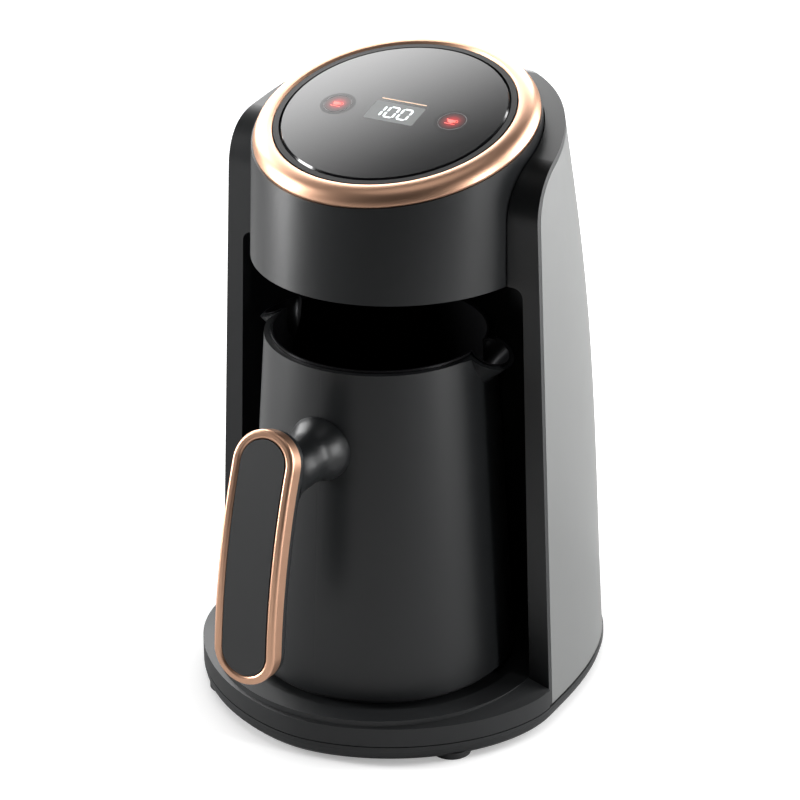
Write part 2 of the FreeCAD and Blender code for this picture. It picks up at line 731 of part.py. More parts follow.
def make_glass_carrier():
    outer = s.ring_inner - s.fit_gap
    seat = glass_floor - s.fit_gap
    inner = s.glass_radius + s.fit_gap
    rest = s.glass_radius - s.carrier_rest
    foot = seat - s.carrier_floor
    top = s.glass_rise - s.fit_gap
    points = ((rest, foot), (outer, foot), (outer, top), (inner, top),
              (inner, seat), (rest, seat), (rest, foot))
    return turned_shape(polyline(points))


shaped("glass_carrier", make_glass_carrier(), ON_SLOPE)


def make_glass_disc():
    edge = s.glass_edge
    points = ((0, glass_floor), (s.glass_radius, glass_floor), (s.glass_radius, s.glass_rise - edge),
              (s.glass_radius - edge, s.glass_rise), (0, s.glass_rise), (0, glass_floor))
    return turned_shape(polyline(points))


shaped("glass_disc", make_glass_disc(), ON_SLOPE)


display_floor = glass_floor - s.fit_gap - s.display_height
board_floor = display_floor - s.board_thickness


def under_glass(radius, height, x, y, z):
    """A disc drawn flat on the ring's axis, to be tipped with the slope."""
    return Part.makeCylinder(radius, height, Vector(float(x), float(y), float(z)))


def make_display():
    corner = Vector(-float(s.display_length) / 2, -float(s.display_back + s.display_width / 2),
                    float(display_floor))
    return Part.makeBox(s.display_length, s.display_width, s.display_height, corner)


shaped("display_module", make_display(), ON_SLOPE)
for name, side in (("touch_pad_left", -1), ("touch_pad_right", 1)):
    pad = under_glass(s.pad_radius, s.display_height, s.pad_reach * side, -s.pad_front, display_floor)
    shaped(name, pad, ON_SLOPE)
shaped("control_board", under_glass(s.board_radius, s.board_thickness, 0, 0, board_floor), ON_SLOPE)


# Power board on its posts behind the bay

def make_power_board():
    half = s.power_board_half
    board = block("power_board_plate", half * 2, s.board_thickness,
                  s.power_board_high - s.power_board_low, -half, board_front, s.power_board_low)
    relay = block("power_board_relay", s.relay_width, s.relay_depth, s.relay_height,
                  -half + s.relay_edge, board_front + s.board_thickness, s.power_board_low + s.relay_rise)
    coil = block("power_board_transformer", s.coil_width, s.coil_depth, s.coil_height,
                 half - s.coil_width - s.coil_edge, board_front + s.board_thickness,
                 s.power_board_low + s.coil_rise)
    return joined("power_board", [board, relay, coil])


keep(make_power_board(), "power_board")


# The pot: jacket, inner cup, heater, base and power socket

def wall_radius(height):
    """Outer radius of the jacket at a height."""
    share = (height - float(s.pot_bottom_height)) / float(s.rim_height - s.pot_bottom_height)
    return float(s.pot_bottom_radius) + (float(s.rim_radius) - float(s.pot_bottom_radius)) * share


def circle_wire(centre, radius, seam=0):
    """A level circle that starts at an angle round its centre."""
    circle = Part.makeCircle(radius)
    circle.rotate(Vector(0, 0, 0), Vector(0, 0, 1), seam)
    circle.translate(centre)
    return Part.Wire([circle])


def pot_form(grow, low, above):
    """The tapered pot with its two spouts, with every seam away from the spouts' blends."""
    rim = float(s.rim_height)
    top = rim + above
    form = Part.makeCone(wall_radius(low) + grow, wall_radius(top) + grow, top - low,
                         Vector(0, 0, low))
    form.rotate(Vector(0, 0, 0), Vector(0, 0, 1), 90)
    mouth, root = float(s.spout_radius) + grow, float(s.spout_root_radius) + grow
    root_height = rim - float(s.spout_depth)
    root_reach = wall_radius(root_height) - float(s.spout_root_radius + s.spout_root_sink)
    back = float(s.spout_back)
    mouth_centre = Vector(float(s.spout_reach - s.spout_radius), back, rim)
    sections = [circle_wire(Vector(root_reach, back, root_height), root, 180),
                circle_wire(mouth_centre, mouth, 180)]
    spout = Part.makeLoft(sections, True, True)
    collar = Part.makeCylinder(mouth, above, mouth_centre)
    collar.rotate(mouth_centre, Vector(0, 0, 1), 180)
    spout = spout.fuse(collar)
    mirrored = spout.mirror(Vector(0, 0, 0), Vector(1, 0, 0))
    return form.fuse([spout, mirrored]).removeSplitter()


def below_rim(lift):
    """Everything under the rim, whose level falls away along the spouts."""
    rim = float(s.rim_height) + lift
    start = float(s.rim_radius - s.spout_start)
    far = FAR / 4
    end = rim - (far - start) * float(s.spout_drop) / (float(s.spout_reach) - start)
    corners = [Vector(-far, -far, 0), Vector(-far, -far, end), Vector(-start, -far, rim),
               Vector(start, -far, rim), Vector(far, -far, end), Vector(far, -far, 0)]
    return Part.Face(Part.makePolygon(corners + corners[:1])).extrude(Vector(0, FAR / 2, 0))


pot_low = float(s.pot_bottom_height)
liner_inset = float(s.jacket_wall + s.fit_gap)


def make_jacket():
    outside = pot_form(0, pot_low, ABOVE_RIM).common(below_rim(0))
    return outside.cut(pot_form(-float(s.jacket_wall), pot_low, 2 * ABOVE_RIM))


shaped("pot_jacket", make_jacket())


def make_liner():
    floor = float(s.liner_floor)
    wall = float(s.liner_wall)
    outside = pot_form(-liner_inset, floor, ABOVE_RIM).common(below_rim(float(s.liner_proud)))
    return outside.cut(pot_form(-liner_inset - wall, floor + wall, 2 * ABOVE_RIM))


shaped("pot_liner", make_liner())

heater_top = s.liner_floor - s.fit_gap
heater_plate = turned_body("heater_plate", (
    (s.sensor_radius + s.fit_gap, heater_top - s.heater_thickness),
    (s.heater_radius - s.edge_chamfer, heater_top - s.heater_thickness),
    (s.heater_radius, heater_top - s.heater_thickness + s.edge_chamfer),
    (s.heater_radius, heater_top),
    (s.sensor_radius + s.fit_gap, heater_top)))
keep(heater_plate, "heater_plate")

keep(cylinder("thermal_sensor", s.sensor_radius, heater_top - s.socket_top - s.fit_gap,
              z=s.socket_top + s.fit_gap), "thermal_sensor")

pot_stand = well_floor + s.fit_gap
base_edge = s.pot_bottom_radius - s.base_lip
spigot = s.pot_bottom_radius - s.jacket_wall - s.fit_gap - s.spigot_play
spigot_top = s.pot_bottom_height + s.base_spigot
pot_base = turned_body("pot_base", (
    (s.socket_radius + s.fit_gap, pot_stand),
    (base_edge - s.edge_chamfer, pot_stand),
    (base_edge, pot_stand + s.edge_chamfer),
    (base_edge, s.pot_bottom_height - s.fit_gap),
    (spigot, s.pot_bottom_height - s.fit_gap),
    (spigot, spigot_top),
    (spigot + s.spigot_play - s.base_plate, spigot_top),
    (spigot + s.spigot_play - s.base_plate, pot_stand + s.base_plate),
    (s.socket_radius + s.fit_gap, pot_stand + s.base_plate)))
keep(pot_base, "pot_base")

pin_low = pot_stand + s.fit_gap
flange_low = pot_stand + s.base_plate + s.fit_gap
flange_top = flange_low + s.socket_flange_height
pot_socket = turned_body("pot_socket", (
    (Size(0, "0"), pin_low),
    (s.centre_pin_radius - s.pin_chamfer, pin_low),
    (s.centre_pin_radius, pin_low + s.pin_chamfer),
    (s.centre_pin_radius, s.socket_top - s.socket_roof),
    (s.socket_bore, s.socket_top - s.socket_roof),
    (s.socket_bore, pot_stand),
    (s.socket_radius, pot_stand),
    (s.socket_radius, flange_low),
    (s.socket_radius + s.socket_flange, flange_low),
    (s.socket_radius + s.socket_flange, flange_top),
    (s.socket_radius, flange_top),
    (s.socket_radius, s.socket_top),
    (Size(0, "0"), s.socket_top)))
keep(pot_socket, "pot_socket")


# Handle: post, curved grip, metallic frame and soft insert

GRIP_CENTRE = Vector(0, float(s.grip_arc_radius - s.grip_front), float(s.grip_arc_height))
GRIP_ENDS = [math.asin((float(z) - GRIP_CENTRE.z) / float(s.grip_arc_radius))
             for z in (s.grip_low + s.grip_half_width, s.grip_high - s.grip_half_width)]


def on_grip(angle, depth):
    """A point on the grip's curved centre line, at a depth behind the insert's face."""
    away = float(s.grip_arc_radius) - depth
    return GRIP_CENTRE + Vector(0, -math.cos(angle), math.sin(angle)) * away


def grip_end(angle, side, half_width, front, back):
    """The half-round end of a layer, flat and square to the curved centre line."""
    centre = on_grip(angle, back)
    across = Vector(half_width, 0, 0)
    tip = centre + Vector(0, math.sin(angle), math.cos(angle)) * (side * half_width)
    edges = [Part.Arc(centre + across, tip, centre - across).toShape(),
             Part.makeLine(centre - across, centre + across)]
    return Part.Face(Part.Wire(edges)).extrude(on_grip(angle, front) - centre)


def grip_piece(inset, front, back):
    """A layer of the grip between two depths: a bent bar with round ends."""
    half_width = float(s.grip_half_width) - inset
    low, high = GRIP_ENDS
    middle = (low + high) / 2
    edges = [Part.Arc(on_grip(low, front), on_grip(middle, front), on_grip(high, front)).toShape(),
             Part.makeLine(on_grip(high, front), on_grip(high, back)),
             Part.Arc(on_grip(high, back), on_grip(middle, back), on_grip(low, back)).toShape(),
             Part.makeLine(on_grip(low, back), on_grip(low, front))]
    bar = Part.Face(Part.Wire(edges)).extrude(Vector(2 * half_width, 0, 0))
    bar.translate(Vector(-half_width, 0, 0))
    ends = [grip_end(low, -1, half_width, front, back), grip_end(high, 1, half_width, front, back)]
    return bar.fuse(ends).removeSplitter()


def edges_on(shape, depth):
    """Edges that lie wholly on the grip's face at one depth."""
    found = []
    for edge in shape.Edges:
        first, last = edge.ParameterRange
        places = [edge.valueAt(first + (last - first) * share) for share in (0, 0.3, 0.7, 1)]
        if all(abs(grip_depth_at(place) - depth) < SAME_PLACE for place in places):
            found.append(edge)
    return found


def grip_depth_at(place):
    """Depth of a point behind the insert's face; beyond the arc the face runs straight on."""
    away = Vector(0, place.y, place.z) - GRIP_CENTRE
    angle = min(max(math.atan2(away.z, -away.y), GRIP_ENDS[0]), GRIP_ENDS[1])
    outward = Vector(0, -math.cos(angle), math.sin(angle))
    return float(s.grip_arc_radius) - away.dot(outward)


frame_front = -float(s.frame_proud)
frame_back = float(s.frame_depth)
gap = float(s.fit_gap)
frame = grip_piece(0, frame_front, frame_back).cut(
    grip_piece(float(s.frame_width), frame_front - 1, frame_back + 1))
frame = frame.makeFillet(float(s.frame_round), edges_on(frame, frame_front))
shaped("grip_frame", frame)

insert = grip_piece(float(s.frame_width) + gap / 2, 0, float(s.insert_depth))
shaped("grip_insert", insert)

shell_back = float(s.grip_depth)
shell = grip_piece(0, frame_back, shell_back)
shell = shell.makeFillet(float(s.shell_round), edges_on(shell, shell_back))
core = grip_piece(float(s.frame_width) + gap / 2, float(s.insert_depth), frame_back + float(s.core_bite))
shaped("grip_shell", shell.fuse(core).removeSplitter())


def grip_back_at(height):
    """Y of the grip's back at a height."""
    away = float(s.grip_arc_radius) - shell_back
    return GRIP_CENTRE.y - math.sqrt(away ** 2 - (height - GRIP_CENTRE.z) ** 2)


def make_post():
    height = float(s.post_height)
    start = -wall_radius(height) + float(s.post_sink)
    end = grip_back_at(height) - float(s.post_sink)
    thin, flare = float(s.post_radius), float(s.post_flare)
    length = start - end
    points = [Vector(0, start - share * length, thin + flare * swell)
              for share, swell in POST_STATIONS]
    curve = Part.BSplineCurve()
    curve.interpolate(Points=points)
    edges = [curve.toShape(), Part.makeLine(points[-1], Vector(0, end, 0)),
             Part.makeLine(Vector(0, end, 0), Vector(0, start, 0)),
             Part.makeLine(Vector(0, start, 0), points[0])]
    solid = Part.Face(Part.Wire(edges)).revolve(Vector(0, 0, 0), Vector(0, 1, 0), 360)
    solid.translate(Vector(0, 0, height))
    solid = solid.cut(pot_form(gap / 2, pot_low, ABOVE_RIM))
    return solid.cut(grip_piece(-FAR / 20, -FAR / 10, shell_back + gap / 2))


shaped("handle_post", make_post())

doc.recompute()

problems = [obj.Name for obj in doc.Objects if "Invalid" in obj.State or "Error" in obj.State]
for obj in nodes:
    if obj.Shape.isNull() or not obj.Shape.isValid():
        problems.append(obj.Label)
if problems:
    raise RuntimeError("failed: " + ", ".join(problems))

os.makedirs("parts", exist_ok=True)
for obj in nodes:
    obj.Shape.exportStep("parts/" + obj.Label + ".step")
print(len(nodes), "sub-parts written")
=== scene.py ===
import math

import bpy
from mathutils import Matrix, Vector


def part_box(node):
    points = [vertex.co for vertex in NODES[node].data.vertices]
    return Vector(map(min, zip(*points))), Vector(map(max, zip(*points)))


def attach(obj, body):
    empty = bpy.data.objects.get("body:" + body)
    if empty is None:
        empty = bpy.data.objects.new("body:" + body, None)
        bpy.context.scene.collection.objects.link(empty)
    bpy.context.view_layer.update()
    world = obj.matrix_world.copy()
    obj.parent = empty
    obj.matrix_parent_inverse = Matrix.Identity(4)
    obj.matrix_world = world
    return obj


bl_info = {
    "name": "Coffee Maker Dressing",
    "version": (1, 0, 0),
    "blender": (4, 5, 0),
    "location": "View3D > Sidebar > Coffee maker",
    "description": "Finishes, panel lights and stage for a one-pot coffee maker",
    "category": "Object",
}

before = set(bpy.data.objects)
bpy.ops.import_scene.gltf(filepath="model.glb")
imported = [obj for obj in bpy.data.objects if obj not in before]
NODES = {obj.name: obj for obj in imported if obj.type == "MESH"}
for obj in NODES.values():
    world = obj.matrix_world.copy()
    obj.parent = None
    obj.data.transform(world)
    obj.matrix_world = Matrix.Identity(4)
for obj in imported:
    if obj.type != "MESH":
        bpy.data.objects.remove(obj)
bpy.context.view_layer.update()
MM = 0.001
SMOOTH_ANGLE = math.radians(35)

# Display and touch marks, in the flat frame of the panel
ROW_UP = -1.2 * MM
WINDOW_ACROSS = 0.6 * MM
WINDOW_CHAMFER = 0.5 * MM
DIGITS_ACROSS = -0.6 * MM
DIGIT_WIDTH = 0.5
DIGIT_STROKE = 0.13
DIGIT_SPACE = 1.9
DIGIT_SLANT = 0.08
STROKE_POINT = 0.46
STROKE_GAP = 0.25
BAR_ACROSS = 0.7 * MM
BAR_UP = 6.4 * MM
BAR_THICKNESS = 0.55 * MM
BAR_SHARE = 0.92
BAR_ROUND = 0.42
PADS_ACROSS = 0.4 * MM
PAD_RISE = 0.4
HALO_GROWTH = 1.25
HALO_HEIGHT = 0.4
GLOW_REACH = 1.2
OUTLINE_WIDTH = 0.22 * MM
CUP_ACROSS = -0.3 * MM
CUP_UP = 0.6 * MM
BOWL_RADIUS = 1.7 * MM
BOWL_TOP = 0.25 * MM
EAR_RADIUS = 0.85 * MM
EAR_WIDTH = 0.28 * MM
EAR_PLACE = (1.75 * MM, -0.45 * MM)
SAUCER_LENGTH = 4.2 * MM
SAUCER_WIDTH = 0.32 * MM
SAUCER_PLACE = (0, -2.25 * MM)
SPOUT_LENGTH = 1.3 * MM
SPOUT_WIDTH = 0.45 * MM
SPOUT_PLACE = (-1.75 * MM, 0.1 * MM)
SPOUT_TURN = math.radians(-30)

# Light and colour of the marks
GLOW_STRENGTH = 0.75
GLOW_MIDDLE = 0.45
GLOW_FALL = 0.22
UNLIT_GLASS = (0.006, 0.006, 0.007, 1)
WINDOW_GREY = (0.085, 0.092, 0.09)
DIGIT_WHITE = (0.86, 0.9, 0.9)
BAR_WARM = (0.85, 0.6, 0.42)
MARK_RED = (1.0, 0.16, 0.13)
MARK_GREY = (0.2, 0.19, 0.19)

# Parting line down the front of the pot
LINE_HALF_WIDTH = 0.10 * MM
LINE_EDGE = 0.35 * MM
LINE_DEPTH = -6.0

# Stage: soft lamps given as azimuth, elevation, distance, width, height and watts
LAMP_AIM = (0, 0, 0.13)
LAMPS = {
    "left softbox": (-66, 8, 1.2, 0.32, 1.0, 20.0),
    "right strip": (90, 5, 1.3, 0.12, 0.9, 10.0),
    "right rear softbox": (138, 12, 1.3, 0.9, 1.1, 26.0),
    "overhead fill": (10, 80, 1.5, 1.0, 1.0, 2.5),
}
CARD_SIZE = 0.9
CARD_DISTANCE = 0.5
CARD_BRIGHT = -0.07
CARD_DARK = 0.036
CARD_LEVEL = 7.5
TABLE_SIZE = 9
TABLE_TONES = (0.80, 0.84)
# Painted contact shadow on the table: ambient occlusion reach and range that darken its camera glow,
# and the glow from the darkest painted shadow to the open table
PAINTED_SHADOW_REACH = 0.14
PAINTED_SHADOW_RANGE = (0.35, 0.97)
TABLE_GLOW = (0.30, 0.93)
ROOM_LEVEL = 0.03


# Sizes and colours that a user would change

class PanelSizes(bpy.types.PropertyGroup):
    """Printed and lit marks on the sloping control panel."""

    tilt: bpy.props.FloatProperty(
        name="Tilt", description="Slope of the control panel", subtype="ANGLE",
        default=math.radians(16.2))
    print_height: bpy.props.FloatProperty(
        name="Print height", description="How far the marks stand on the glass", unit="LENGTH",
        default=0.08 * MM, precision=5)
    pad_reach: bpy.props.FloatProperty(
        name="Pad reach", description="Touch marks beside the middle of the glass", unit="LENGTH",
        default=23.6 * MM, precision=5)
    pad_radius: bpy.props.FloatProperty(
        name="Pad radius", description="Outline round a touch mark", unit="LENGTH",
        default=5.4 * MM, precision=5)
    window_width: bpy.props.FloatProperty(
        name="Window width", description="Display window from side to side", unit="LENGTH",
        default=20.5 * MM, precision=5)
    window_height: bpy.props.FloatProperty(
        name="Window height", description="Display window up the slope", unit="LENGTH",
        default=11.5 * MM, precision=5)
    digit_height: bpy.props.FloatProperty(
        name="Digit height", description="Height of the lit digits", unit="LENGTH",
        default=7.4 * MM, precision=5)
    reading: bpy.props.StringProperty(
        name="Reading", description="Number shown on the display", default="100")


class FinishColours(bpy.types.PropertyGroup):
    """Colours of the moulded, plated and lit surfaces."""

    body: bpy.props.FloatVectorProperty(
        name="Body", description="Moulded black plastic", subtype="COLOR", size=3,
        default=(0.011, 0.012, 0.013))
    side: bpy.props.FloatVectorProperty(
        name="Side panels", description="Satin grey lacquer", subtype="COLOR", size=3,
        default=(0.22, 0.224, 0.222))
    copper: bpy.props.FloatVectorProperty(
        name="Copper", description="Satin rose copper plating", subtype="COLOR", size=3,
        default=(0.78, 0.46, 0.31))
    coating: bpy.props.FloatVectorProperty(
        name="Pot coating", description="Satin black coating of the pot", subtype="COLOR", size=3,
        default=(0.012, 0.013, 0.014))
    pad: bpy.props.FloatVectorProperty(
        name="Soft insert", description="Soft insert of the grip", subtype="COLOR", size=3,
        default=(0.032, 0.033, 0.034))
    glow: bpy.props.FloatVectorProperty(
        name="Touch light", description="Red light under the touch marks", subtype="COLOR", size=3,
        default=(0.8, 0.012, 0.016))


class StageSizes(bpy.types.PropertyGroup):
    """Viewing angle and lens of the camera."""

    azimuth: bpy.props.FloatProperty(
        name="Azimuth", description="Camera to the right of the front", subtype="ANGLE",
        default=math.radians(29.76))
    elevation: bpy.props.FloatProperty(
        name="Elevation", description="Camera above the table's level", subtype="ANGLE",
        default=math.radians(24.76))
    roll: bpy.props.FloatProperty(
        name="Roll", description="Turn of the camera about its own axis", subtype="ANGLE",
        default=math.radians(-0.19))
    distance: bpy.props.FloatProperty(
        name="Distance", description="Camera from the point it looks at", unit="LENGTH",
        default=1.150)
    lens: bpy.props.FloatProperty(
        name="Lens", description="Focal length in millimetres", default=136.44)
    aim_side: bpy.props.FloatProperty(
        name="Aim to the side", description="Point looked at, to the right in the view",
        unit="LENGTH", default=7.47 * MM, precision=5)
    aim_height: bpy.props.FloatProperty(
        name="Aim height", description="Height of the point looked at", unit="LENGTH",
        default=121.17 * MM, precision=5)


# Shared node groups

def node(tree, kind, place, **inputs):
    """Add a node and set its unlinked inputs by name."""
    made = tree.nodes.new(kind)
    made.location = place
    for name, value in inputs.items():
        made.inputs[name.replace("_", " ")].default_value = value
    return made


def group_with(name, inputs, outputs):
    """An empty shader node group with named sockets."""
    tree = bpy.data.node_groups.new(name, "ShaderNodeTree")
    for label, kind, value in inputs:
        socket = tree.interface.new_socket(label, in_out="INPUT", socket_type=kind)
        if value is not None:
            socket.default_value = value
    for label, kind in outputs:
        tree.interface.new_socket(label, in_out="OUTPUT", socket_type=kind)
    return tree, tree.nodes.new("NodeGroupInput"), tree.nodes.new("NodeGroupOutput")


def grain_group():
    """Fine moulded grain: a height and a roughness that wanders a little."""
    tree, given, result = group_with("fine grain", (
        ("Vector", "NodeSocketVector", None), ("Scale", "NodeSocketFloat", 900.0),
        ("Roughness", "NodeSocketFloat", 0.4), ("Wander", "NodeSocketFloat", 0.06)),
        (("Height", "NodeSocketFloat"), ("Roughness", "NodeSocketFloat")))
    given.location = (-600, 0)
    result.location = (500, 0)
    fine = node(tree, "ShaderNodeTexNoise", (-350, 120), Detail=3.0, Roughness=0.6)
    broad = node(tree, "ShaderNodeTexNoise", (-350, -160), Scale=22.0, Detail=4.0)
    swing = node(tree, "ShaderNodeMath", (-120, -160))
    swing.operation = "SUBTRACT"
    swing.inputs[1].default_value = 0.5
    share = node(tree, "ShaderNodeMath", (60, -160))
    share.operation = "MULTIPLY"
    total = node(tree, "ShaderNodeMath", (240, -160))
    total.operation = "ADD"
    link = tree.links.new
    link(given.outputs["Vector"], fine.inputs["Vector"])
    link(given.outputs["Vector"], broad.inputs["Vector"])
    link(given.outputs["Scale"], fine.inputs["Scale"])
    link(broad.outputs["Fac"], swing.inputs[0])
    link(swing.outputs[0], share.inputs[0])
    link(given.outputs["Wander"], share.inputs[1])
    link(share.outputs[0], total.inputs[0])
    link(given.outputs["Roughness"], total.inputs[1])
    link(fine.outputs["Fac"], result.inputs["Height"])
    link(total.outputs[0], result.inputs["Roughness"])
    return tree


def dust_group():
    """Light dust and wipe marks that lift a colour in broad faint patches."""
    tree, given, result = group_with("faint wipe marks", (
        ("Vector", "NodeSocketVector", None), ("Base", "NodeSocketColor", (0, 0, 0, 1)),
        ("Lift", "NodeSocketColor", (0.1, 0.1, 0.1, 1)), ("Amount", "NodeSocketFloat", 0.2)),
        (("Color", "NodeSocketColor"),))
    given.location = (-600, 0)
    result.location = (500, 0)
    stretch = node(tree, "ShaderNodeMapping", (-420, 100), Scale=(14.0, 14.0, 5.0))
    patches = node(tree, "ShaderNodeTexNoise", (-240, 100), Scale=1.0, Detail=5.0, Distortion=0.8)
    narrow = node(tree, "ShaderNodeMapRange", (-60, 100), From_Min=0.45, From_Max=0.75)
    share = node(tree, "ShaderNodeMath", (120, 100))
    share.operation = "MULTIPLY"
    blend = tree.nodes.new("ShaderNodeMix")
    blend.data_type = "RGBA"
    blend.location = (300, 0)
    link = tree.links.new
    link(given.outputs["Vector"], stretch.inputs["Vector"])
    link(stretch.outputs[0], patches.inputs["Vector"])
    link(patches.outputs["Fac"], narrow.inputs["Value"])
    link(narrow.outputs[0], share.inputs[0])
    link(given.outputs["Amount"], share.inputs[1])
    link(share.outputs[0], blend.inputs["Factor"])
    link(given.outputs["Base"], blend.inputs["A"])
    link(given.outputs["Lift"], blend.inputs["B"])
    link(blend.outputs["Result"], result.inputs["Color"])
    return tree


GROUPS = {}


def shared(name):
    """The shared node groups, built once."""
    if name not in GROUPS:
        GROUPS[name] = {"grain": grain_group, "dust": dust_group}[name]()
    return GROUPS[name]


# Materials

def surface(name, colour, rough, grain=900.0, bump=0.05, wander=0.06, dust=0.15, lift=2.2,
            metal=0.0, **plain):
    """A satin or gloss finish: wandering roughness, fine grain and faint wipe marks."""
    if name in bpy.data.materials:
        return bpy.data.materials[name]
    material = bpy.data.materials.new(name)
    material.use_nodes = True
    tree = material.node_tree
    shader = tree.nodes["Principled BSDF"]
    shader.inputs["Metallic"].default_value = metal
    for socket, value in plain.items():
        shader.inputs[socket.replace("_", " ")].default_value = value
    where = tree.nodes.new("ShaderNodeTexCoord")
    where.location = (-900, 0)
    fine = tree.nodes.new("ShaderNodeGroup")
    fine.node_tree = shared("grain")
    fine.location = (-560, -120)
    fine.inputs["Scale"].default_value = grain
    fine.inputs["Roughness"].default_value = rough
    fine.inputs["Wander"].default_value = wander
    marks = tree.nodes.new("ShaderNodeGroup")
    marks.node_tree = shared("dust")
    marks.location = (-560, 180)
    marks.inputs["Base"].default_value = (*colour, 1)
    marks.inputs["Lift"].default_value = (*[min(part * lift, 1) for part in colour], 1)
    marks.inputs["Amount"].default_value = dust
    rise = node(tree, "ShaderNodeBump", (-260, -260), Strength=bump, Distance=0.1 * MM)
    link = tree.links.new
    link(where.outputs["Object"], fine.inputs["Vector"])
    link(where.outputs["Object"], marks.inputs["Vector"])
    link(marks.outputs["Color"], shader.inputs["Base Color"])
    link(fine.outputs["Roughness"], shader.inputs["Roughness"])
    link(fine.outputs["Height"], rise.inputs["Height"])
    link(rise.outputs["Normal"], shader.inputs["Normal"])
    return material


def pot_coating(colour):
    """The pot's satin coating with the faint parting line down its front."""
    material = surface("pot satin coating", colour, 0.36, grain=1400.0, bump=0.08)
    tree = material.node_tree
    if "parting line" in tree.nodes:
        return material
    where = next(item for item in tree.nodes if item.bl_idname == "ShaderNodeTexCoord")
    rise = next(item for item in tree.nodes if item.bl_idname == "ShaderNodeBump")
    fine = rise.inputs["Height"].links[0].from_socket
    parts = tree.nodes.new("ShaderNodeSeparateXYZ")
    parts.location = (-700, -420)
    side = tree.nodes.new("ShaderNodeMath")
    side.operation = "ABSOLUTE"
    side.location = (-540, -420)
    line = node(tree, "ShaderNodeMapRange", (-380, -420), From_Min=LINE_HALF_WIDTH,
                From_Max=LINE_EDGE, To_Min=LINE_DEPTH, To_Max=0.0)
    line.name = "parting line"
    front = tree.nodes.new("ShaderNodeMath")
    front.operation = "LESS_THAN"
    front.inputs[1].default_value = 0.0
    front.location = (-540, -600)
    depth = tree.nodes.new("ShaderNodeMath")
    depth.operation = "MULTIPLY"
    depth.location = (-220, -480)
    total = tree.nodes.new("ShaderNodeMath")
    total.operation = "ADD"
    total.location = (-60, -420)
    link = tree.links.new
    link(where.outputs["Object"], parts.inputs[0])
    link(parts.outputs["X"], side.inputs[0])
    link(side.outputs[0], line.inputs["Value"])
    link(parts.outputs["Y"], front.inputs[0])
    link(line.outputs[0], depth.inputs[0])
    link(front.outputs[0], depth.inputs[1])
    link(depth.outputs[0], total.inputs[0])
    link(fine, total.inputs[1])
    link(total.outputs[0], rise.inputs["Height"])
    return material


def satin_black(colours):
    """Satin moulded plastic of the housing, the head and the grip."""
    return surface("satin black moulding", colours.body, 0.34, bump=0.06, lift=1.6)


def matt_black(colours):
    """Matt moulded plastic of the deck, the pan, the back and the pot's base."""
    return surface("matt black moulding", colours.body, 0.5, bump=0.12, lift=1.8)


def rose_copper(colours):
    """Satin copper plating of the ring and the grip's frame."""
    return surface("satin rose copper", colours.copper, 0.38, grain=2600.0, bump=0.02,
                   metal=1.0, wander=0.05, dust=0.1, lift=0.8)


def lamp_material(name, colour, strength):
    """A lit mark whose light is a little uneven, as behind printed glass."""
    if name in bpy.data.materials:
        return bpy.data.materials[name]
    material = bpy.data.materials.new(name)
    material.use_nodes = True
    tree = material.node_tree
    shader = tree.nodes["Principled BSDF"]
    shader.inputs["Roughness"].default_value = 0.3
    shader.inputs["Emission Strength"].default_value = strength
    where = tree.nodes.new("ShaderNodeTexCoord")
    patchy = node(tree, "ShaderNodeTexNoise", (-500, 0), Scale=260.0, Detail=1.0)
    ramp = tree.nodes.new("ShaderNodeValToRGB")
    ramp.location = (-300, 0)
    ramp.color_ramp.elements[0].color = (*[part * 0.82 for part in colour], 1)
    ramp.color_ramp.elements[1].color = (*colour, 1)
    link = tree.links.new
    link(where.outputs["Object"], patchy.inputs["Vector"])
    link(patchy.outputs["Fac"], ramp.inputs["Fac"])
    link(ramp.outputs["Color"], shader.inputs["Base Color"])
    link(ramp.outputs["Color"], shader.inputs["Emission Color"])
    return material


def glow_material(colour, centres, reach):
    """Red light that fades out from the middle of each touch mark."""
    material = bpy.data.materials.new("touch light under glass")
    material.use_nodes = True
    tree = material.node_tree
    shader = tree.nodes["Principled BSDF"]
    shader.inputs["Roughness"].default_value = 0.16
    shader.inputs["Base Color"].default_value = UNLIT_GLASS
    shader.inputs["Emission Strength"].default_value = GLOW_STRENGTH
    where = tree.nodes.new("ShaderNodeTexCoord")
    link = tree.links.new
    nearest = None
    for centre in centres:
        away = tree.nodes.new("ShaderNodeVectorMath")
        away.operation = "DISTANCE"
        away.inputs[1].default_value = centre
        link(where.outputs["Object"], away.inputs[0])
        if nearest is None:
            nearest = away.outputs["Value"]
            continue
        least = tree.nodes.new("ShaderNodeMath")
        least.operation = "MINIMUM"
        link(nearest, least.inputs[0])
        link(away.outputs["Value"], least.inputs[1])
        nearest = least.outputs[0]
    fade = node(tree, "ShaderNodeMapRange", (-500, -200), From_Min=0.0, From_Max=reach,
                To_Min=1.0, To_Max=0.0)
    fade.interpolation_type = "SMOOTHERSTEP"
    ramp = tree.nodes.new("ShaderNodeValToRGB")
    ramp.color_ramp.elements[0].color = (0, 0, 0, 1)
    middle = ramp.color_ramp.elements.new(GLOW_MIDDLE)
    middle.color = (*[part * GLOW_FALL for part in colour], 1)
    ramp.color_ramp.elements[-1].color = (*colour, 1)
    link(nearest, fade.inputs["Value"])
    link(fade.outputs[0], ramp.inputs["Fac"])
    link(ramp.outputs["Color"], shader.inputs["Emission Color"])
    return material


# Modelling helpers

def clear_selection():
    """Leave edit mode and deselect everything."""
    if bpy.context.object and bpy.context.object.mode != "OBJECT":
        bpy.ops.object.mode_set(mode="OBJECT")
    bpy.ops.object.select_all(action="DESELECT")


def only(obj):
    """Select one object and make it active."""
    clear_selection()
    obj.select_set(True)
    bpy.context.view_layer.objects.active = obj
    return obj


def edit_all(obj, *steps):
    """Run edit mode steps on the whole mesh of an object."""
    only(obj)
    bpy.ops.object.mode_set(mode="EDIT")
    bpy.ops.mesh.select_all(action="SELECT")
    for step in steps:
        step()
    bpy.ops.object.mode_set(mode="OBJECT")
    return obj


